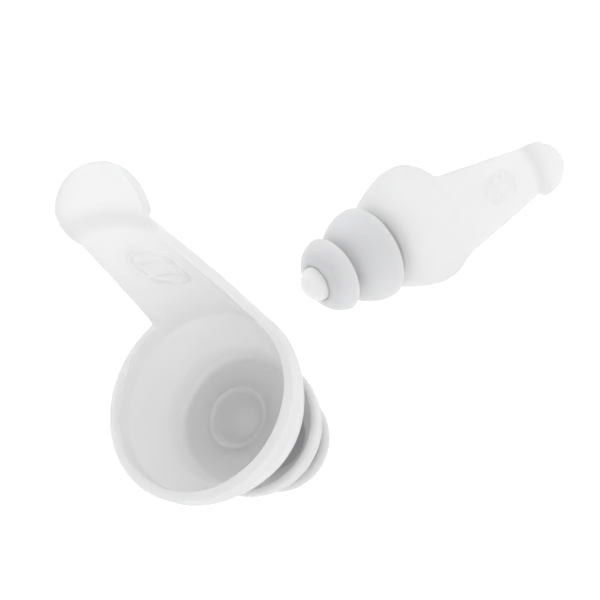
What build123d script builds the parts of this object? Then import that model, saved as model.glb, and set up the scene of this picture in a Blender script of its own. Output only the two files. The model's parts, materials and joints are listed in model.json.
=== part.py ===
"""A pair of moulded silicone ear plugs, left and right, with pull handles.

Each plug has a bell-shaped cup whose wall runs back into a thin handle, a
stem with a push-on double-flange ear tip, and a firm core pin in the stem.
Millimetres, +Z up.  The origin is the centre of the left tip's rear flange
rim, where it seals the ear canal.  Each plug is drawn in its own frame: the
centre of the cup's rim, +z towards the nose and +x towards the handle.
"""
from math import cos, radians, sin
import os

from build123d import *

# Cup
RIM_R = 7.0
RIM_WALL = 0.7
RIM_STRAIGHT = 1.4
BELL_LEAN = 15.7
SHOULDER_R = 4.35
SHOULDER_Z = 7.1
POCKET_MOUTH_R = 5.05
POCKET_MOUTH_Z = 4.45
POCKET_FLOOR_R = 4.6
POCKET_FLOOR_Z = 5.9
POCKET_CORNER_R = 0.7

# Handle, measured back along its wall from the rim
HANDLE_SPLAY = 2.6
HANDLE_STRAIGHT = 11.75
FLARE_R = 1.6
FLARE_ANGLE = 51.0
HANDLE_END_RUN = 3.5
NOTCH_SIDE_ROOT = 4.35
NOTCH_SIDE_NECK = 2.52
NOTCH_FILLET_R = 0.5
SWEPT_SIDE_ROOT = 5.1
SWEPT_SIDE_NECK = 2.7
SWEPT_FILLET_R = 1.5
TAB_CENTRE_Y = 0.45
TAB_DEPTH = 12.93
TAB_HALF_WIDTH = 3.1
TAB_HALF_LENGTH = 1.38

# Raised grip mark on both faces of the handle, and the ring in the pocket
MARK_HEIGHT = 0.14
MARK_CENTRE_Y = 0.0
MARK_DEPTH = 6.3
MARK_LENGTH = 4.8
MARK_WIDTH = 3.1
MARK_LINE = 0.4
POCKET_RING_R = 2.2

# Stem, tip and core
STEM_R = 1.9
STEM_TOP_Z = 15.2
STEM_WALL = 0.85
STEM_BORE_FLOOR_Z = 7.6
TIP_FIT = 0.05
PIN_FIT = 0.05
PIN_END_GAP = 0.2
HUB_WALL = 0.75
FLANGE_WALL = 0.5
FLANGE_ROOT = 0.65
REAR_RIM_R = 5.31
REAR_RIM_Z = 8.03
REAR_LEAN = 3.0
REAR_DOME_TOP_Z = 12.58
FRONT_RIM_R = 4.1
FRONT_RIM_Z = 13.24
FRONT_LEAN = 8.5
TIP_FRONT_Z = 15.7
LIP_ROUND_R = 0.15
NOSE_FIT = 0.07
NOSE_HEIGHT = 1.56

# How the two plugs lie: directions are right, back and up
LEFT_NOSE = (0.398, 0.685, -0.610)
LEFT_HANDLE = (0.074, 0.639, 0.766)
RIGHT_NOSE = (-0.7595, -0.588, -0.2775)
RIGHT_HANDLE = (0.480, -0.795, 0.371)
RIGHT_RIM_FROM_LEFT_RIM = (20.5, 40.1, 2.8)

RIM_INNER_R = RIM_R - RIM_WALL / cos(radians(HANDLE_SPLAY))
STEM_BORE_R = STEM_R - STEM_WALL
TIP_BORE_R = STEM_R + TIP_FIT
HUB_R = TIP_BORE_R + HUB_WALL
PIN_R = STEM_BORE_R - PIN_FIT
NOSE_R = TIP_BORE_R - NOSE_FIT
REACH = 2 * (RIM_R + TAB_DEPTH)


def section_of(base):
    """Half-section of a plug: sketch x is the radius, sketch y the axis."""
    return Plane(origin=base.origin, x_dir=base.x_dir, z_dir=base.y_dir * -1)


def side_of(base):
    """Side view of a plug from its axis: sketch x is across the handle."""
    return Plane(origin=base.origin, x_dir=base.y_dir, z_dir=base.x_dir)


def nose_axis(base):
    return Axis(base.origin, base.z_dir)


def leaning(angle):
    """Direction towards the nose, leaning in towards the axis."""
    return (-sin(radians(angle)), cos(radians(angle)))


def build_mark(base, hand):
    """A grip mark: a pill-shaped ring with two bars, proud of both faces."""
    splay = radians(HANDLE_SPLAY)
    start = MARK_DEPTH - MARK_LENGTH
    end = MARK_DEPTH + MARK_LENGTH
    inner = RIM_INNER_R - MARK_HEIGHT
    outer = RIM_R + MARK_HEIGHT
    inside_length = MARK_LENGTH - 2 * MARK_LINE
    inside_width = MARK_WIDTH - 2 * MARK_LINE
    with BuildPart() as mark:
        with BuildSketch(section_of(base)):
            with BuildLine():
                Polyline(
                    (inner + start * sin(splay), -start),
                    (outer + start * sin(splay), -start),
                    (outer + end * sin(splay), -end),
                    (inner + end * sin(splay), -end),
                    close=True,
                )
            make_face()
        revolve(axis=nose_axis(base))
        with BuildSketch(side_of(base)):
            with Locations((hand * MARK_CENTRE_Y, -MARK_DEPTH)):
                SlotOverall(MARK_LENGTH, MARK_WIDTH, rotation=90)
                SlotOverall(inside_length, inside_width, rotation=90, mode=Mode.SUBTRACT)
                with GridLocations(0, MARK_LENGTH / 3, 1, 2):
                    Rectangle(MARK_WIDTH - MARK_LINE, MARK_LINE)
        extrude(amount=REACH, mode=Mode.INTERSECT)
    return mark.part


def build_shell(base, hand):
    """The cup, its handle and its stem, moulded in one piece."""
    heading = Vector(sin(radians(HANDLE_SPLAY)), -cos(radians(HANDLE_SPLAY)))
    inward = Vector(-cos(radians(HANDLE_SPLAY)), -sin(radians(HANDLE_SPLAY)))
    mark = build_mark(base, hand)
    with BuildPart() as shell:
        with BuildSketch(section_of(base)):
            with BuildLine():
                Polyline(
                    (0, STEM_BORE_FLOOR_Z),
                    (STEM_BORE_R, STEM_BORE_FLOOR_Z),
                    (STEM_BORE_R, STEM_TOP_Z),
                    (STEM_R, STEM_TOP_Z),
                    (STEM_R, SHOULDER_Z),
                    (SHOULDER_R, SHOULDER_Z),
                )
                TangentArc((RIM_R, RIM_STRAIGHT), (SHOULDER_R, SHOULDER_Z), tangent=leaning(BELL_LEAN))
                Line((RIM_R, RIM_STRAIGHT), (RIM_R, 0))
                outer = Line((RIM_R, 0), Vector(RIM_R, 0) + heading * HANDLE_STRAIGHT)
                outer_flare = JernArc(outer @ 1, heading, FLARE_R, FLARE_ANGLE)
                outer_end = Line(outer_flare @ 1, outer_flare @ 1 + (outer_flare % 1) * HANDLE_END_RUN)
                inner = Line((RIM_INNER_R, 0), outer @ 1 + inward * RIM_WALL)
                inner_flare = JernArc(inner @ 1, heading, FLARE_R + RIM_WALL, FLARE_ANGLE)
                inner_end = Line(inner_flare @ 1, inner_flare @ 1 + (inner_flare % 1) * HANDLE_END_RUN)
                Line(outer_end @ 1, inner_end @ 1)
                Line((RIM_INNER_R, 0), (RIM_INNER_R, RIM_STRAIGHT))
                TangentArc(
                    (RIM_INNER_R, RIM_STRAIGHT),
                    (POCKET_MOUTH_R, POCKET_MOUTH_Z),
                    tangent=leaning(BELL_LEAN),
                )
                FilletPolyline(
                    (POCKET_MOUTH_R, POCKET_MOUTH_Z),
                    (POCKET_FLOOR_R, POCKET_FLOOR_Z),
                    (0, POCKET_FLOOR_Z),
                    radius=POCKET_CORNER_R,
                )
                Line((0, POCKET_FLOOR_Z), (0, STEM_BORE_FLOOR_Z))
            make_face()
        revolve(axis=nose_axis(base))

        # Behind the rim only the handle is kept
        with BuildSketch(side_of(base).offset(-REACH)):
            Rectangle(2 * REACH, REACH, align=(Align.CENTER, Align.MAX))
        extrude(amount=REACH, mode=Mode.SUBTRACT)
        with BuildSketch(side_of(base)) as waste:
            Rectangle(2 * REACH, REACH, align=(Align.CENTER, Align.MAX))
            with BuildLine():
                Polyline(
                    (-hand * NOTCH_SIDE_ROOT, 0),
                    (hand * SWEPT_SIDE_ROOT, 0),
                    (hand * SWEPT_SIDE_NECK, -TAB_DEPTH),
                    (-hand * NOTCH_SIDE_NECK, -TAB_DEPTH),
                    close=True,
                )
            make_face(mode=Mode.SUBTRACT)
            with Locations((hand * TAB_CENTRE_Y, -TAB_DEPTH)):
                Ellipse(TAB_HALF_WIDTH, TAB_HALF_LENGTH, mode=Mode.SUBTRACT)
            roots = waste.vertices().filter_by(lambda v: abs(v.Y) < 1e-6)
            fillet(roots.filter_by(lambda v: abs(v.X + hand * NOTCH_SIDE_ROOT) < 1e-6), NOTCH_FILLET_R)
            roots = waste.vertices().filter_by(lambda v: abs(v.Y) < 1e-6)
            fillet(roots.filter_by(lambda v: abs(v.X - hand * SWEPT_SIDE_ROOT) < 1e-6), SWEPT_FILLET_R)
        extrude(amount=REACH, mode=Mode.SUBTRACT)

        add(mark)
        with BuildSketch(section_of(base)):
            with Locations((POCKET_RING_R, POCKET_FLOOR_Z)):
                Rectangle(MARK_LINE, 2 * MARK_HEIGHT)
        revolve(axis=nose_axis(base))
    return shell.part


def build_tip(base):
    """The soft double-flange ear tip, a sleeve that pushes over the stem."""
    rear_lip_r = REAR_RIM_R - FLANGE_WALL
    front_lip_r = FRONT_RIM_R - FLANGE_WALL
    front_inside_z = TIP_FRONT_Z - FLANGE_ROOT
    neck_z = REAR_DOME_TOP_Z - FLANGE_ROOT
    with BuildPart() as tip:
        with BuildSketch(section_of(base)) as rear_half:
            with BuildLine():
                Polyline(
                    (HUB_R, neck_z),
                    (HUB_R, SHOULDER_Z),
                    (TIP_BORE_R, SHOULDER_Z),
                    (TIP_BORE_R, REAR_DOME_TOP_Z),
                    (HUB_R, REAR_DOME_TOP_Z),
                )
                TangentArc((REAR_RIM_R, REAR_RIM_Z), (HUB_R, REAR_DOME_TOP_Z), tangent=leaning(REAR_LEAN))
                Line((REAR_RIM_R, REAR_RIM_Z), (rear_lip_r, REAR_RIM_Z))
                TangentArc((rear_lip_r, REAR_RIM_Z), (HUB_R, neck_z), tangent=leaning(REAR_LEAN))
            make_face()
            lip = rear_half.vertices().filter_by(lambda v: abs(v.Y - REAR_RIM_Z) < 1e-6)
            fillet(lip, LIP_ROUND_R)
        revolve(axis=nose_axis(base))
        with BuildSketch(section_of(base)) as front_half:
            with BuildLine():
                Polyline(
                    (HUB_R, front_inside_z),
                    (HUB_R, neck_z),
                    (TIP_BORE_R, neck_z),
                    (TIP_BORE_R, TIP_FRONT_Z),
                )
                TangentArc((FRONT_RIM_R, FRONT_RIM_Z), (TIP_BORE_R, TIP_FRONT_Z), tangent=leaning(FRONT_LEAN))
                Line((FRONT_RIM_R, FRONT_RIM_Z), (front_lip_r, FRONT_RIM_Z))
                TangentArc((front_lip_r, FRONT_RIM_Z), (HUB_R, front_inside_z), tangent=leaning(FRONT_LEAN))
            make_face()
            lip = front_half.vertices().filter_by(lambda v: abs(v.Y - FRONT_RIM_Z) < 1e-6)
            fillet(lip, LIP_ROUND_R)
        revolve(axis=nose_axis(base))
    return tip.part


def build_core(base):
    """The firm core: a pin in the stem's bore with the domed nose in front."""
    with BuildPart() as core:
        with BuildSketch(section_of(base)):
            with BuildLine():
                Polyline(
                    (0, TIP_FRONT_Z + NOSE_HEIGHT),
                    (0, STEM_BORE_FLOOR_Z + PIN_END_GAP),
                    (PIN_R, STEM_BORE_FLOOR_Z + PIN_END_GAP),
                    (PIN_R, STEM_TOP_Z),
                    (NOSE_R, STEM_TOP_Z),
                    (NOSE_R, TIP_FRONT_Z),
                )
                TangentArc((0, TIP_FRONT_Z + NOSE_HEIGHT), (NOSE_R, TIP_FRONT_Z), tangent=(1, 0))
            make_face()
        revolve(axis=nose_axis(base))
    return core.part


left_nose = Vector(*LEFT_NOSE).normalized()
left_rim = left_nose * -REAR_RIM_Z
right_rim = left_rim + Vector(*RIGHT_RIM_FROM_LEFT_RIM)
plugs = {
    "left": (Plane(origin=left_rim, x_dir=LEFT_HANDLE, z_dir=LEFT_NOSE), 1),
    "right": (Plane(origin=right_rim, x_dir=RIGHT_HANDLE, z_dir=RIGHT_NOSE), -1),
}

os.makedirs("parts", exist_ok=True)
for side, (base, hand) in plugs.items():
    pieces = {
        "shell": build_shell(base, hand),
        "tip": build_tip(base),
        "core": build_core(base),
    }
    for piece, part in pieces.items():
        part.label = f"{side}_{piece}"
        export_step(part, f"parts/{part.label}.step")
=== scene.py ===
"""The looks of a pair of moulded silicone ear plugs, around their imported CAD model.

Sizes are in millimetres in each plug's own frame, as the part's source has
them: the centre of the cup's rim, z towards the nose and x towards the handle.
The right plug mirrors the left one, so its y is negated.
"""

import json
from math import asin, atan2, cos, pi, radians, sin, sqrt, tan

import bmesh
import bpy
from mathutils import Matrix, Vector


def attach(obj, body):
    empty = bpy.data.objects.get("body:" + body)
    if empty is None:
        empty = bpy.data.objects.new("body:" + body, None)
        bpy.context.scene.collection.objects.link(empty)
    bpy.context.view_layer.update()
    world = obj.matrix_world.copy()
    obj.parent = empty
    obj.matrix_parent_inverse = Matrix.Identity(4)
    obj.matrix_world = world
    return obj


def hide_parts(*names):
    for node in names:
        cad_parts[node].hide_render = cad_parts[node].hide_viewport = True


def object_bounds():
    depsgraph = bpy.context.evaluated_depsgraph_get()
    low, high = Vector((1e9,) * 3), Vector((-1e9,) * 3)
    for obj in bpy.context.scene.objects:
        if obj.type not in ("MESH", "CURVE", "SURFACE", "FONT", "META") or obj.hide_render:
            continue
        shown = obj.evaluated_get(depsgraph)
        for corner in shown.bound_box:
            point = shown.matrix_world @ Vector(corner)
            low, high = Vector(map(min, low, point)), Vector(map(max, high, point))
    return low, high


MM = 0.001
TINY = 1e-6

# Cup
RIM_R = 7.0
WALL = 0.7
RIM_STRAIGHT = 1.4
BELL_LEAN = radians(15.7)
SHOULDER_R = 4.35
SHOULDER_Z = 7.1
SHOULDER_ROUND_R = 0.18
POCKET_MOUTH_R = 5.05
POCKET_MOUTH_Z = 4.45
POCKET_FLOOR_R = 4.6
POCKET_FLOOR_Z = 5.9
POCKET_CORNER_REACH = 0.52
POCKET_LIP_OUT = 0.04
POCKET_LIP_BACK = 0.06
POCKET_RING_R = 2.2
RING_WIDTH = 0.5
RING_HEIGHT = 0.14
RING_FULLNESS = 0.7
EDGE_ROUND_R = 0.15
FLOOR_CENTRE_R = 0.12
BORE_CENTRE_R = 0.1

# Handle, by its depth behind the rim
SPLAY = radians(2.6)
HANDLE_STRAIGHT = 11.75
FLARE_R = 1.6
FLARE_ANGLE = radians(51.0)
NOTCH_SIDE_ROOT = 4.35
NOTCH_SIDE_NECK = 2.52
NOTCH_FILLET_R = 0.5
SWEPT_SIDE_ROOT = 5.1
SWEPT_SIDE_NECK = 2.7
SWEPT_FILLET_R = 1.5
TAB_CENTRE_Y = 0.45
TAB_DEPTH = 12.93
TAB_HALF_WIDTH = 3.1
TAB_HALF_LENGTH = 1.38
NECK_BLEND = 0.5
SQUARE_EDGE_FADE = 1.2
WIDEST_SHARE = 0.99

# Grip mark
MARK_CENTRE_Y = 0.0
MARK_DEPTH = 6.3
MARK_LENGTH = 4.8
MARK_WIDTH = 3.1
MARK_LINE = 0.4
MARK_HEIGHT = 0.14
MARK_FLAT_SHARE = 0.55

# Stem, tip and core
STEM_R = 1.9
STEM_TOP_Z = 15.2
STEM_BORE_R = 1.05
STEM_BORE_FLOOR_Z = 7.6
TIP_BORE_R = 1.95
HUB_R = 2.7
LIP_BEAD_R = 0.3
FLANGE_ROOT = 0.65
HUB_RING_RISE = 0.2
REAR_RIM_R = 5.31
REAR_RIM_Z = 8.03
REAR_LEAN = radians(3.0)
REAR_DOME_TOP_Z = 12.58
FRONT_RIM_R = 4.1
FRONT_RIM_Z = 13.24
FRONT_LEAN = radians(8.5)
TIP_FRONT_Z = 15.7
PIN_R = 1.0
PIN_END_GAP = 0.2
PIN_CHAMFER = 0.1
NOSE_R = 1.88
NOSE_HEIGHT = 1.56
NOSE_CHAMFER = 0.08

# Mesh resolution
HANDLE_COLUMNS = 92
RIM_COLUMNS = 132
ROOT_ROWS = 28
ROOT_END = 2.2
HANDLE_ROWS = 104
TAB_ROWS = 20
RIM_STEPS = 5
EDGE_STEPS = 4
BELL_INSIDE_STEPS = 14
BELL_OUTSIDE_STEPS = 30
POCKET_CORNER_STEPS = 8
FLOOR_STEPS = 8
SHOULDER_STEPS = 4
LIP_STEPS = 10
REAR_FLANGE_STEPS = (24, 28)
FRONT_FLANGE_STEPS = (16, 22)
NOSE_STEPS = 20
LATHE_SEGMENTS = 160
MERGE_DISTANCE = 0.001

# The mirror sign of each plug, and where its handle points in the row frame
SIDES = {"left": 1, "right": -1}
HANDLE_DIRECTION = {"left": (0.074, 0.639, 0.766), "right": (0.480, -0.795, 0.371)}

# Camera, in the row frame
CAMERA_AT = (3.668, -54.133, 27.364)
CAMERA_TILT = 18.0
CAMERA_LENS = 48.0
CAMERA_CLIP_START = 0.002

# Studio, lengths in metres and power in watts
FLOOR_DROP = 0.03
FLOOR_REACH = 6.0
SKY_LEVEL = 1.02
OVERHEAD_GAIN = 0.1
SHADE_TOWARDS = (-0.3, -0.75, 0.6)
SHADE_DEPTH = 0.15
SOFTBOX_SIZE = 0.25
SOFTBOX_POWER = 0.05
SOFTBOX_OFFSET = (-0.1, 0.08, 0.3)

# Silicone. A grain is its noise scale per metre and its detail
CLOUD_GRAIN = (420.0, 2.0)
SATIN_GRAIN = (9000.0, 3.0)
WAVE_GRAIN = (240.0, 1.0)
CLOUD_TINT = 0.12
CLOUD_SHINE = 0.08
SATIN_SHINE = 0.16
SATIN_SHARE = 0.25
BUMP_STRENGTH = 0.35
BUMP_HEIGHT = 0.00002
SILICONE_IOR = 1.43
SCATTER_TINT = (1.0, 0.97, 0.94)

# Where light and shade are painted on the silicone, in millimetres
POCKET_MARGIN = 0.06
POCKET_FADE = 0.4
BEND_LEAD = 1.0
BEND_RISE = 0.4
BEND_HOLD = 0.7
BEND_TAIL = 0.2
FLOOR_MARGIN = 0.05
RIM_MARGIN = 0.05
HUB_MARGIN = 0.1
FRONT_PAINTED_LIGHT_RUN = 0.6
REAR_PAINTED_LIGHT_RUN = 1.2
HUB_PAINTED_SHADE_RUN = 0.5

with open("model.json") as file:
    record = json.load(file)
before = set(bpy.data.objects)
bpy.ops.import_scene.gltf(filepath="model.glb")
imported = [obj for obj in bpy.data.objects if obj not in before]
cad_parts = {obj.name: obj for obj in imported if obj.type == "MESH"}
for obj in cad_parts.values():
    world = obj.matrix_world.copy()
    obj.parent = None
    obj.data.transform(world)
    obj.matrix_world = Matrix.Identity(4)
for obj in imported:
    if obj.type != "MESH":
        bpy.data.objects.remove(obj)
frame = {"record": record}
cad_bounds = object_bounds()


# ---------------------------------------------------------------- placing

def plug_frame(side):
    """Row-frame matrix of a plug, from its ear canal mount and handle side."""
    mounts = frame["record"]["mounts"]
    mount = next(m for m in mounts if m["name"] == f"{side}_ear_canal")
    nose = Vector(mount["axis"]).normalized()
    handle = Vector(HANDLE_DIRECTION[side])
    handle = (handle - nose * handle.dot(nose)).normalized()
    across = nose.cross(handle) * SIDES[side]
    rim = Vector(mount["pos_m"]) - nose * REAR_RIM_Z * MM
    turn = Matrix((handle, across, nose)).transposed().to_4x4()
    return Matrix.Translation(rim) @ turn @ Matrix.Scale(MM, 4)


def place(piece, side):
    """Puts a mesh drawn in a plug's frame into the row frame."""
    piece.data.transform(plug_frame(side))
    if SIDES[side] < 0:
        piece.data.flip_normals()
    return piece


def mesh_piece(name, points, faces=(), edges=()):
    mesh = bpy.data.meshes.new(name)
    mesh.from_pydata([tuple(p) for p in points], edges, faces)
    mesh.update()
    piece = bpy.data.objects.new(name, mesh)
    bpy.context.scene.collection.objects.link(piece)
    return piece


# ---------------------------------------------------------------- shell

MID_R = RIM_R - WALL / 2
FLARE_MID_R = FLARE_R + WALL / 2
FLARE_START = HANDLE_STRAIGHT * cos(SPLAY)
FLARE_START_R = MID_R + HANDLE_STRAIGHT * sin(SPLAY)
SLOPE_END = SPLAY + FLARE_ANGLE
FLARE_END = FLARE_START + FLARE_MID_R * (sin(SLOPE_END) - sin(SPLAY))
FLARE_END_R = FLARE_START_R + FLARE_MID_R * (cos(SPLAY) - cos(SLOPE_END))


def ramp(value, low, high):
    """Smooth step from 0 at low to 1 at high."""
    share = max(0.0, min(1.0, (value - low) / (high - low)))
    return share * share * (3 - 2 * share)


def wall_at(depth):
    """Mid radius and slope of the wall, at a depth behind the rim."""
    if depth <= 0:
        return MID_R, 0.0
    if depth <= FLARE_START:
        return MID_R + depth * tan(SPLAY), SPLAY
    if depth <= FLARE_END:
        slope = asin(sin(SPLAY) + (depth - FLARE_START) / FLARE_MID_R)
        return FLARE_START_R + FLARE_MID_R * (cos(SPLAY) - cos(slope)), slope
    return FLARE_END_R + (depth - FLARE_END) * tan(SLOPE_END), SLOPE_END


def mark_rise(y, depth):
    """Height of the grip mark, a pill-shaped ring with two bars, over the wall."""
    across = abs(y - MARK_CENTRE_Y)
    along = depth - MARK_DEPTH
    half_width = (MARK_WIDTH - MARK_LINE) / 2
    past_straight = max(0.0, abs(along) - (MARK_LENGTH - MARK_WIDTH) / 2)
    off_ring = abs(sqrt(across * across + past_straight * past_straight) - half_width)
    off_bar = abs(abs(along) - MARK_LENGTH / 6) if across < half_width else MARK_LINE
    off_line = 2 * min(off_ring, off_bar) / MARK_LINE
    return MARK_HEIGHT * (1 - ramp(off_line, MARK_FLAT_SHARE, 1.0))


def on_wall(y, depth, level):
    """A point of the wall: level 0 is its inner face and 1 its outer face.

    On the notch side the edge is cut square to the wall, so y shrinks inwards.
    """
    mid, slope = wall_at(depth)
    if y < 0:
        square = 1 - ramp(depth, FLARE_START - SQUARE_EDGE_FADE, FLARE_START)
        y *= 1 - square * (1 - level) * WALL / (mid + WALL / 2)
    proud = (level - 0.5) * (WALL + 2 * mark_rise(y, depth))
    radius = mid + proud * cos(slope)
    widest = WIDEST_SHARE * radius
    y = max(-widest, min(widest, y))
    return Vector((sqrt(radius * radius - y * y), y, proud * sin(slope) - depth))


def side_edge(depth, inset, root, neck, fillet):
    """Distance of one side edge from the handle's middle line, root fillet included."""
    run = (root - neck) / TAB_DEPTH
    lean = sqrt(1 + run * run)
    straight = root - run * depth - inset * lean
    centre = root - run * fillet + fillet * lean
    reach = fillet + inset
    drop = fillet - depth
    if drop <= 0:
        return straight
    arc = centre - sqrt(max(0.0, reach * reach - drop * drop))
    tangent_depth = fillet - fillet * run / lean
    return max(arc, straight) if depth < tangent_depth else straight


def tab_edge(depth, inset):
    """Half width of the tab's ellipse at a depth, before its middle."""
    along = (TAB_DEPTH - depth) / (TAB_HALF_LENGTH - inset * cos(SLOPE_END))
    return (TAB_HALF_WIDTH - inset) * sqrt(max(0.0, 1 - along * along))


def blend(one, two, reach):
    """The larger of two values, rounded off where they are close."""
    near = max(0.0, reach - abs(one - two))
    return max(one, two) + near * near / (4 * max(reach, TINY))


def edges_at(depth, inset):
    """The y of both side edges at a depth, notch side first."""
    notch = side_edge(depth, inset, NOTCH_SIDE_ROOT, NOTCH_SIDE_NECK, NOTCH_FILLET_R)
    swept = side_edge(depth, inset, SWEPT_SIDE_ROOT, SWEPT_SIDE_NECK, SWEPT_FILLET_R)
    half_tab = tab_edge(depth, inset)
    reach = NECK_BLEND * (1 - ramp(depth, TAB_DEPTH - NECK_BLEND, TAB_DEPTH))
    return -blend(notch, half_tab - TAB_CENTRE_Y, reach), blend(swept, half_tab + TAB_CENTRE_Y, reach)


def row_depths(inset):
    """Depths of the handle's rows, close together in the root fillets."""
    shares = [(k / ROOT_ROWS) ** 2 for k in range(ROOT_ROWS)]
    depths = [-inset + (ROOT_END + inset) * share for share in shares]
    rest = TAB_DEPTH - ROOT_END
    return depths + [ROOT_END + rest * k / HANDLE_ROWS for k in range(HANDLE_ROWS + 1)]


def tab_point(across, along, inset):
    """Square to half-ellipse: the tab's rounded end in y and depth."""
    x = across * sqrt(1 - along * along / 2)
    w = along * sqrt(1 - across * across / 2)
    half_length = TAB_HALF_LENGTH - inset * cos(SLOPE_END)
    return TAB_CENTRE_Y + (TAB_HALF_WIDTH - inset) * x, TAB_DEPTH + half_length * w


def handle_point(column, row, inset, level):
    """A point of the handle's grid. Rows past the straight ones close round the tab's end."""
    depths = row_depths(inset)
    share = column / HANDLE_COLUMNS
    if row < len(depths):
        depth = depths[row]
        notch, swept = edges_at(depth, inset)
        return on_wall(notch + (swept - notch) * share, depth, level)
    along = (row - len(depths) + 1) / TAB_ROWS
    y, depth = tab_point(2 * share - 1, along, inset)
    return on_wall(y, depth, level)


def rim_turns(level):
    """Angles of the columns at the rim: those above the handle, then the others."""
    radius = MID_R + (level - 0.5) * WALL
    above = [asin(handle_point(c, 0, 0.0, level).y / radius) for c in range(HANDLE_COLUMNS + 1)]
    sweep = above[0] + 2 * pi - above[-1]
    return above, [above[-1] + sweep * k / RIM_COLUMNS for k in range(1, RIM_COLUMNS)]


def rim_points(inset, level):
    """Points of the rim's edge beside the handle."""
    radius = MID_R + (level - 0.5) * WALL
    return [Vector((radius * cos(t), radius * sin(t), inset)) for t in rim_turns(level)[1]]


def arc(centre, radius, start, end, steps):
    """Points of a circular arc after its first point, angles in degrees."""
    angles = [radians(start + (end - start) * k / steps) for k in range(1, steps + 1)]
    return [(centre[0] + radius * cos(a), centre[1] + radius * sin(a)) for a in angles]


def line(start, end, steps):
    """Points of a straight run after its first point."""
    shares = [k / steps for k in range(1, steps + 1)]
    return [tuple(s + (e - s) * t for s, e in zip(start, end)) for t in shares]


def dome(start, end, lean, steps):
    """A circular arc that leaves start leaning in from the axis and arrives at end."""
    chord = Vector(end) - Vector(start)
    half_turn = atan2(-chord.x, chord.y) - lean
    points = []
    for k in range(1, steps + 1):
        turn = half_turn * k / steps
        reach = chord.length * sin(turn) / sin(half_turn)
        points.append((start[0] - reach * sin(lean + turn), start[1] + reach * cos(lean + turn)))
    return points


def rounded(points, reach, steps):
    """An open outline with each inner corner rounded, from reach before it to reach after."""
    smooth = [points[0]]
    for before, corner, after in zip(points, points[1:], points[2:]):
        middle = Vector(corner)
        back = Vector(before) - middle
        onward = Vector(after) - middle
        cut = min(reach, back.length / 2, onward.length / 2)
        start = middle + back.normalized() * cut
        end = middle + onward.normalized() * cut
        for k in range(steps + 1):
            t = k / steps
            smooth.append(tuple(start * (1 - t) ** 2 + middle * 2 * t * (1 - t) + end * t * t))
    return smooth + [points[-1]]


def cup_inside():
    """Half-section of the cup's inner face, from the rim to the pocket's centre."""
    inner_r = RIM_R - WALL
    start = (inner_r, EDGE_ROUND_R)
    mouth = (POCKET_MOUTH_R, POCKET_MOUTH_Z)
    above_mouth = (POCKET_MOUTH_R + POCKET_LIP_OUT, POCKET_MOUTH_Z - POCKET_LIP_BACK)
    ring_start = (POCKET_RING_R + RING_WIDTH / 2, POCKET_FLOOR_Z)
    ring_end = (POCKET_RING_R - RING_WIDTH / 2, POCKET_FLOOR_Z)
    wall = [start] + line(start, (inner_r, RIM_STRAIGHT), RIM_STEPS)
    wall += dome(wall[-1], above_mouth, BELL_LEAN, BELL_INSIDE_STEPS)
    pocket = [mouth, (POCKET_FLOOR_R, POCKET_FLOOR_Z), ring_start]
    wall += rounded(pocket, POCKET_CORNER_REACH, POCKET_CORNER_STEPS)
    for k in range(1, FLOOR_STEPS + 1):
        share = k / FLOOR_STEPS
        radius = POCKET_RING_R + RING_WIDTH * (0.5 - share)
        wall.append((radius, POCKET_FLOOR_Z - RING_HEIGHT * sin(pi * share) ** RING_FULLNESS))
    return wall + line(ring_end, (FLOOR_CENTRE_R, POCKET_FLOOR_Z), FLOOR_STEPS)


def cup_outside():
    """Half-section of the outer face, from the rim over the stem into its bore."""
    start = (RIM_R, EDGE_ROUND_R)
    wall = [start] + line(start, (RIM_R, RIM_STRAIGHT), RIM_STEPS)
    wall += dome(wall[-1], (SHOULDER_R, SHOULDER_Z), BELL_LEAN, BELL_OUTSIDE_STEPS)[:-1]
    stem = [
        wall[-1],
        (SHOULDER_R, SHOULDER_Z),
        (STEM_R, SHOULDER_Z),
        (STEM_R, STEM_TOP_Z),
        (STEM_BORE_R, STEM_TOP_Z),
        (STEM_BORE_R, STEM_BORE_FLOOR_Z),
        (BORE_CENTRE_R, STEM_BORE_FLOOR_Z),
    ]
    return wall + rounded(stem, SHOULDER_ROUND_R, SHOULDER_STEPS)[1:]


def lip_steps():
    """Inset and level of each row across the wall's rounded edge."""
    corner = [radians(90 * k / EDGE_STEPS) for k in range(1, EDGE_STEPS + 1)]
    inner = [(EDGE_ROUND_R * (1 - sin(a)), EDGE_ROUND_R * (1 - cos(a)) / WALL) for a in corner]
    middle = [(0.0, 0.5)]
    outer = [(inset, 1 - level) for inset, level in reversed(inner)]
    return inner + middle + outer


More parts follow.
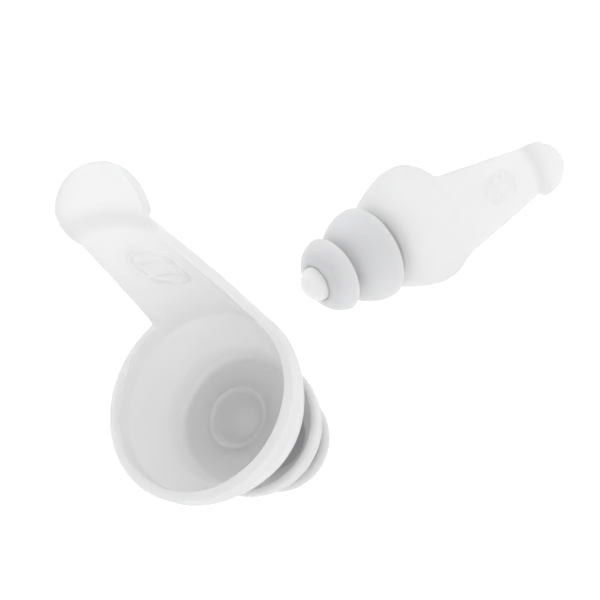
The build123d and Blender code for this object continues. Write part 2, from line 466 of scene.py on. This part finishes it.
def shell_mesh(name):
    """Cup, handle and stem as one closed skin of quads."""
    points, faces = [], []

    def add(point):
        points.append(point)
        return len(points) - 1

    def skin(strips):
        for one, two in zip(strips, strips[1:]):
            for k in range(len(one) - 1):
                faces.append((one[k], one[k + 1], two[k + 1], two[k]))

    rows = len(row_depths(EDGE_ROUND_R)) + TAB_ROWS
    surfaces = {}
    for level, section in ((0, cup_inside()), (1, cup_outside())):
        rings = []
        turns = sum(rim_turns(level), [])
        for radius, z in section:
            rings.append([add(Vector((radius * cos(t), radius * sin(t), z))) for t in turns])
        closed = [ring + ring[:1] for ring in rings]
        skin(closed)
        pole = add(Vector((0, 0, section[-1][1])))
        for k in range(len(turns)):
            faces.append((closed[-1][k], closed[-1][k + 1], pole))
        ladder = [rings[0][: HANDLE_COLUMNS + 1]]
        for row in range(1, rows):
            rung = [handle_point(c, row, EDGE_ROUND_R, level) for c in range(HANDLE_COLUMNS + 1)]
            ladder.append([add(point) for point in rung])
        skin(ladder[::-1])
        border = rings[0][HANDLE_COLUMNS + 1:]
        border += [rung[0] for rung in ladder]
        border += ladder[-1][1:-1]
        border += [rung[-1] for rung in ladder[::-1]]
        surfaces[level] = border + border[:1]

    loops = [surfaces[0]]
    for inset, level in lip_steps():
        loop = [add(point) for point in rim_points(inset, level)]
        loop += [add(handle_point(0, row, inset, level)) for row in range(rows)]
        loop += [add(handle_point(c, rows - 1, inset, level)) for c in range(1, HANDLE_COLUMNS)]
        loop += [add(handle_point(HANDLE_COLUMNS, row, inset, level)) for row in reversed(range(rows))]
        loops.append(loop + loop[:1])
    loops.append(surfaces[1])
    skin(loops)
    return mesh_piece(name, points, faces)


# ---------------------------------------------------------------- node trees

class Value:
    """A socket that takes part in arithmetic: each operator adds a Math node."""

    def __init__(self, tree, socket):
        self.tree = tree
        self.socket = socket

    def maths(self, operation, *others):
        """The result of a Math node that starts from this value."""
        return self.tree.maths(operation, self, *others)

    def __add__(self, other):
        return self.maths("ADD", other)

    def __radd__(self, other):
        return self.tree.maths("ADD", other, self)

    def __sub__(self, other):
        return self.maths("SUBTRACT", other)

    def __rsub__(self, other):
        return self.tree.maths("SUBTRACT", other, self)

    def __mul__(self, other):
        return self.maths("MULTIPLY", other)

    def __rmul__(self, other):
        return self.tree.maths("MULTIPLY", other, self)

    def __truediv__(self, other):
        return self.maths("DIVIDE", other)

    def __rtruediv__(self, other):
        return self.tree.maths("DIVIDE", other, self)

    def __mod__(self, other):
        return self.maths("MODULO", other)

    def __pow__(self, other):
        return self.maths("POWER", other)


class Tree:
    """Makes the nodes of one node tree."""

    def __init__(self, tree):
        self.tree = tree

    @staticmethod
    def find(sockets, key):
        """A socket by its place, or the one in use that has this name."""
        if isinstance(key, int):
            return sockets[key]
        return next(s for s in sockets if s.name == key and s.enabled)

    def node(self, kind, settings=None, inputs=None, output=0):
        """Adds a node with its settings, then its inputs, and gives one output."""
        node = self.tree.nodes.new(kind)
        for key, value in (settings or {}).items():
            setattr(node, key, value)
        for key, value in (inputs or {}).items():
            socket = self.find(node.inputs, key)
            if isinstance(value, Value):
                self.tree.links.new(value.socket, socket)
            else:
                socket.default_value = value
        if len(node.outputs) == 0:
            return None
        return Value(self, self.find(node.outputs, output))

    def maths(self, operation, *terms):
        return self.node("ShaderNodeMath", {"operation": operation}, dict(enumerate(terms)))


# ---------------------------------------------------------------- lathe

def geometry_tree(name, sizes):
    """A geometry tree with named inputs, and its inputs by name."""
    group = bpy.data.node_groups.new(name, "GeometryNodeTree")
    inputs = {"Geometry": "Geometry", **sizes, "Material": "Material"}
    for label, kind in inputs.items():
        group.interface.new_socket(label, in_out="INPUT", socket_type="NodeSocket" + kind)
    group.interface.new_socket("Geometry", in_out="OUTPUT", socket_type="NodeSocketGeometry")
    tree = Tree(group)
    given = {label: tree.node("NodeGroupInput", output=label) for label in inputs}
    return tree, given


def finish_geometry(tree, given, geometry):
    whole = tree.node("GeometryNodeRealizeInstances", inputs={"Geometry": geometry})
    smooth = tree.node("GeometryNodeSetShadeSmooth", inputs={"Geometry": whole})
    paint = {"Geometry": smooth, "Material": given["Material"]}
    painted = tree.node("GeometryNodeSetMaterial", inputs=paint)
    tree.node("NodeGroupOutput", inputs={"Geometry": painted})
    return tree.tree


def lathe_tree():
    """Turns a profile about z: its points in order, with x as the radius."""
    tree, given = geometry_tree("lathe", {"Segments": "Int", "Profile Points": "Int"})
    count = given["Profile Points"]
    cells = {"Vertices X": given["Segments"] + 1, "Vertices Y": count}
    grid = tree.node("GeometryNodeMeshGrid", inputs=cells)
    index = tree.node("GeometryNodeInputIndex")
    column = (index / count).maths("FLOOR")
    angle = column / given["Segments"] * (2 * pi)
    position = tree.node("GeometryNodeInputPosition")
    profile = tree.node(
        "GeometryNodeSampleIndex",
        {"data_type": "FLOAT_VECTOR"},
        {"Geometry": given["Geometry"], "Value": position, "Index": index % count},
    )
    radius = tree.node("ShaderNodeSeparateXYZ", inputs={"Vector": profile}, output="X")
    height = tree.node("ShaderNodeSeparateXYZ", inputs={"Vector": profile}, output="Z")
    x = radius * angle.maths("COSINE")
    y = radius * angle.maths("SINE")
    spot = tree.node("ShaderNodeCombineXYZ", inputs={"X": x, "Y": y, "Z": height})
    turned = tree.node("GeometryNodeSetPosition", inputs={"Geometry": grid, "Position": spot})
    seam = {"Geometry": turned, "Distance": MERGE_DISTANCE}
    merged = tree.node("GeometryNodeMergeByDistance", inputs=seam)
    return finish_geometry(tree, given, merged)


def run_tree(piece, group, values):
    """Runs a geometry tree on a piece and keeps the plain mesh."""
    modifier = piece.modifiers.new(group.name, "NODES")
    modifier.node_group = group
    for item in group.interface.items_tree:
        if item.in_out == "INPUT" and item.name in values:
            modifier[item.identifier] = values[item.name]
    bpy.context.view_layer.update()
    evaluated = piece.evaluated_get(bpy.context.evaluated_depsgraph_get())
    mesh = bpy.data.meshes.new_from_object(evaluated)
    piece.modifiers.remove(modifier)
    outline = piece.data
    piece.data = mesh
    bpy.data.meshes.remove(outline)
    mesh.name = piece.name


def face_outwards(mesh):
    form = bmesh.new()
    form.from_mesh(mesh)
    bmesh.ops.recalc_face_normals(form, faces=form.faces)
    form.to_mesh(mesh)
    form.free()


LATHE = lathe_tree()


def lathe_piece(name, profile, material):
    points = [(radius, 0, z) for radius, z in profile]
    edges = [(k, k + 1) for k in range(len(points) - 1)]
    piece = mesh_piece(name, points, edges=edges)
    values = {"Segments": LATHE_SEGMENTS, "Profile Points": len(points), "Material": material}
    run_tree(piece, LATHE, values)
    face_outwards(piece.data)
    return piece


# ---------------------------------------------------------------- tip and core

def flange_profile(rim_r, rim_z, lean, inside, outside, steps):
    """One flange's outline: from its root inside, under it, round its lip and over it."""
    lip = (rim_r - LIP_BEAD_R, rim_z + LIP_BEAD_R)
    under_steps, over_steps = steps
    under = dome((lip[0] - LIP_BEAD_R, lip[1]), inside, lean, under_steps)
    bead = arc(lip, LIP_BEAD_R, 180, 360, LIP_STEPS)
    return under[::-1] + bead + dome(bead[-1], outside, lean, over_steps)


def tip_profile():
    """Closed half-section of the double-flange tip, with full round lips."""
    rear_inside = (HUB_R, REAR_DOME_TOP_Z - FLANGE_ROOT)
    rear_outside = (HUB_R, REAR_DOME_TOP_Z)
    front_inside = (HUB_R, TIP_FRONT_Z - FLANGE_ROOT)
    front_outside = (TIP_BORE_R, TIP_FRONT_Z)
    rear = (REAR_RIM_R, REAR_RIM_Z, REAR_LEAN, rear_inside, rear_outside, REAR_FLANGE_STEPS)
    front = (FRONT_RIM_R, FRONT_RIM_Z, FRONT_LEAN, front_inside, front_outside, FRONT_FLANGE_STEPS)
    points = [(TIP_BORE_R, SHOULDER_Z), (HUB_R, SHOULDER_Z)]
    points += flange_profile(*rear)
    points += [(HUB_R, FRONT_RIM_Z + HUB_RING_RISE)]
    points += flange_profile(*front)
    return points + points[:1]


def core_profile():
    """Half-section of the core: the pin with its rounded nose."""
    foot_z = STEM_BORE_FLOOR_Z + PIN_END_GAP
    nose_top = (0, TIP_FRONT_Z + NOSE_HEIGHT)
    lean = 2 * atan2(NOSE_R, NOSE_HEIGHT) - pi / 2
    points = [
        (0, foot_z),
        (PIN_R - PIN_CHAMFER, foot_z),
        (PIN_R, foot_z + PIN_CHAMFER),
        (PIN_R, STEM_TOP_Z),
        (NOSE_R - NOSE_CHAMFER, STEM_TOP_Z),
        (NOSE_R, STEM_TOP_Z + NOSE_CHAMFER),
        (NOSE_R, TIP_FRONT_Z),
    ]
    points += dome(points[-1], nose_top, lean, NOSE_STEPS)[:-1]
    return points + [nose_top]


# ---------------------------------------------------------------- silicone

def empty_tree(owner):
    """Switches an owner's nodes on and clears them."""
    owner.use_nodes = True
    owner.node_tree.nodes.clear()
    return Tree(owner.node_tree)


def silicone(name, shaded_colour, clear, roughness, through, scatter_mm):
    """Satin translucent silicone. A vertex attribute of painted light and shade turns its darker
    colour, painted shade, to its clear one, painted light, and through is how much light passes
    straight on.
    """
    material = bpy.data.materials.new(name)
    tree = empty_tree(material)
    spot = tree.node("ShaderNodeTexCoord", output="Object")
    painted_light_and_shade = tree.node("ShaderNodeAttribute", {"attribute_name": "painted_light_and_shade"}, output="Fac")

    def grain(scale, detail):
        sizes = {"Vector": spot, "Scale": scale, "Detail": detail}
        return tree.node("ShaderNodeTexNoise", inputs=sizes)

    cloud = grain(*CLOUD_GRAIN) - 0.5
    satin = grain(*SATIN_GRAIN) - 0.5
    wave = grain(*WAVE_GRAIN)
    # Painted light and shade: a vertex attribute mixes a darker colour, painted shade, with a clear
    # one, painted light.
    colour = tree.node(
        "ShaderNodeMix",
        {"data_type": "RGBA"},
        {"Factor": painted_light_and_shade + cloud * CLOUD_TINT, "A": (*shaded_colour, 1), "B": (*clear, 1)},
        "Result",
    )
    height = satin * SATIN_SHARE + wave
    bump_sizes = {"Strength": BUMP_STRENGTH, "Distance": BUMP_HEIGHT, "Height": height}
    bump = tree.node("ShaderNodeBump", inputs=bump_sizes)
    shine = roughness + satin * SATIN_SHINE + cloud * CLOUD_SHINE
    surface = tree.node(
        "ShaderNodeBsdfPrincipled",
        inputs={
            "Base Color": colour,
            "Roughness": shine,
            "Normal": bump,
            "IOR": SILICONE_IOR,
            "Transmission Weight": through,
            "Subsurface Weight": 1.0,
            "Subsurface Radius": SCATTER_TINT,
            "Subsurface Scale": scatter_mm * MM,
        },
    )
    tree.node("ShaderNodeOutputMaterial", inputs={"Surface": surface})
    return material


# The darker colour of each silicone is painted shade and its clear colour is painted light, mixed by a
# vertex attribute.
SHELL_SILICONE = silicone(
    "shell_silicone",
    shaded_colour=(0.82, 0.82, 0.825),
    clear=(0.91, 0.91, 0.915),
    roughness=0.45,
    through=0.35,
    scatter_mm=1.2,
)
TIP_SILICONE = silicone(
    "tip_silicone",
    shaded_colour=(0.88, 0.88, 0.89),
    clear=(0.97, 0.97, 0.975),
    roughness=0.36,
    through=0.3,
    scatter_mm=1.6,
)
CORE_SILICONE = silicone(
    "core_silicone",
    shaded_colour=(0.91, 0.91, 0.915),
    clear=(0.92, 0.92, 0.925),
    roughness=0.45,
    through=0.2,
    scatter_mm=0.8,
)


def paint_light_and_shade(piece, amount):
    """Stores painted light and shade at each vertex, from its place in the plug's frame."""
    painted_light_and_shade = piece.data.attributes.new("painted_light_and_shade", "FLOAT", "POINT")
    for vertex, value in zip(piece.data.vertices, painted_light_and_shade.data):
        value.value = amount(vertex.co.xy.length, vertex.co.z)


def shell_painted_shade(radius, z):
    """Painted shade: darker in the pocket, which the stem backs, and in the bend below the tab."""
    in_pocket = radius < POCKET_MOUTH_R + POCKET_MARGIN and z < POCKET_FLOOR_Z + FLOOR_MARGIN
    base = ramp(z, POCKET_MOUTH_Z - POCKET_FADE, POCKET_FLOOR_Z) if in_pocket else 0.0
    bend = ramp(-z, FLARE_START - BEND_LEAD, FLARE_START + BEND_RISE)
    bend -= ramp(-z, FLARE_START + BEND_HOLD, FLARE_END + BEND_TAIL)
    return 1 - base - bend


def tip_painted_light(radius, z):
    """Painted light at both flange lips, where the silicone is thin, and painted shade towards the
    hub.
    """
    if z > FRONT_RIM_Z - RIM_MARGIN and radius > HUB_R + HUB_MARGIN:
        return 1 - ramp(z, FRONT_RIM_Z, FRONT_RIM_Z + FRONT_PAINTED_LIGHT_RUN)
    off_rim = ramp(z, REAR_RIM_Z, REAR_RIM_Z + REAR_PAINTED_LIGHT_RUN)
    return (1 - off_rim) * ramp(radius, HUB_R, HUB_R + HUB_PAINTED_SHADE_RUN)


# ---------------------------------------------------------------- pieces

def finish_piece(piece, side, body, replaced):
    """Puts a piece in its place, ties it to its body and hides the CAD node it replaces."""
    place(piece, side)
    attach(piece, body)
    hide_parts(replaced)


def build_plug(side):
    cup = shell_mesh(f"{side}_cup")
    face_outwards(cup.data)
    cup.data.shade_smooth()
    cup.data.materials.append(SHELL_SILICONE)
    # Painted shade: darker in the pocket and in the bend below the tab.
    paint_light_and_shade(cup, shell_painted_shade)
    finish_piece(cup, side, f"{side}_plug", f"{side}_shell")

    tip = lathe_piece(f"{side}_ear_tip", tip_profile(), TIP_SILICONE)
    # Painted light at the flange lips, painted shade towards the hub.
    paint_light_and_shade(tip, tip_painted_light)
    finish_piece(tip, side, f"{side}_tip", f"{side}_tip")

    core = lathe_piece(f"{side}_core_pin", core_profile(), CORE_SILICONE)
    finish_piece(core, side, f"{side}_core", f"{side}_core")


for side in SIDES:
    build_plug(side)


# ---------------------------------------------------------------- studio

def build_floor():
    """A wide pale floor, lit from within so that it stays even."""
    level = cad_bounds[0][2] - FLOOR_DROP
    around = [(-1, -1), (1, -1), (1, 1), (-1, 1)]
    corners = [(FLOOR_REACH * x, FLOOR_REACH * y, level) for x, y in around]
    floor = mesh_piece("floor", corners, [(0, 1, 2, 3)])
    material = bpy.data.materials.new("pale_floor")
    tree = empty_tree(material)
    paint = {
        "Base Color": (0.1, 0.1, 0.1, 1),
        "Roughness": 0.9,
        "Emission Color": (1, 1, 1, 1),
        "Emission Strength": 1.0,
    }
    surface = tree.node("ShaderNodeBsdfPrincipled", inputs=paint)
    tree.node("ShaderNodeOutputMaterial", inputs={"Surface": surface})
    floor.data.materials.append(material)


def build_world():
    """An even white sky, brighter overhead and a little dimmer high in front."""
    world = bpy.data.worlds.new("studio")
    bpy.context.scene.world = world
    tree = empty_tree(world)
    direction = tree.node("ShaderNodeTexCoord", output="Generated")
    height = tree.node("ShaderNodeSeparateXYZ", inputs={"Vector": direction}, output="Z")
    facing = {0: direction, 1: SHADE_TOWARDS}
    front = tree.node("ShaderNodeVectorMath", {"operation": "DOT_PRODUCT"}, facing, "Value")
    shade = (front.maths("MAXIMUM", 0.0) ** 3) * SHADE_DEPTH
    strength = SKY_LEVEL + height.maths("MAXIMUM", 0.0) * OVERHEAD_GAIN - shade
    sky = tree.node("ShaderNodeBackground", inputs={"Color": (1, 1, 1, 1), "Strength": strength})
    tree.node("ShaderNodeOutputWorld", inputs={"Surface": sky})


def build_softbox():
    lamp = bpy.data.lights.new("softbox", "AREA")
    lamp.shape = "DISK"
    lamp.size = SOFTBOX_SIZE
    lamp.energy = SOFTBOX_POWER
    holder = bpy.data.objects.new("softbox", lamp)
    bpy.context.scene.collection.objects.link(holder)
    low, high = cad_bounds
    holder.location = (Vector(low) + Vector(high)) / 2 + Vector(SOFTBOX_OFFSET)
    holder.rotation_euler = (-Vector(SOFTBOX_OFFSET)).to_track_quat("-Z", "Y").to_euler()


def build_camera():
    camera = bpy.data.objects.new("camera", bpy.data.cameras.new("camera"))
    bpy.context.scene.collection.objects.link(camera)
    camera.location = Vector(CAMERA_AT) * MM
    camera.rotation_euler = (radians(90 - CAMERA_TILT), 0, 0)
    camera.data.lens = CAMERA_LENS
    camera.data.clip_start = CAMERA_CLIP_START
    bpy.context.scene.camera = camera


build_floor()
build_world()
build_softbox()
build_camera()
bpy.context.scene.view_settings.view_transform = "Standard"
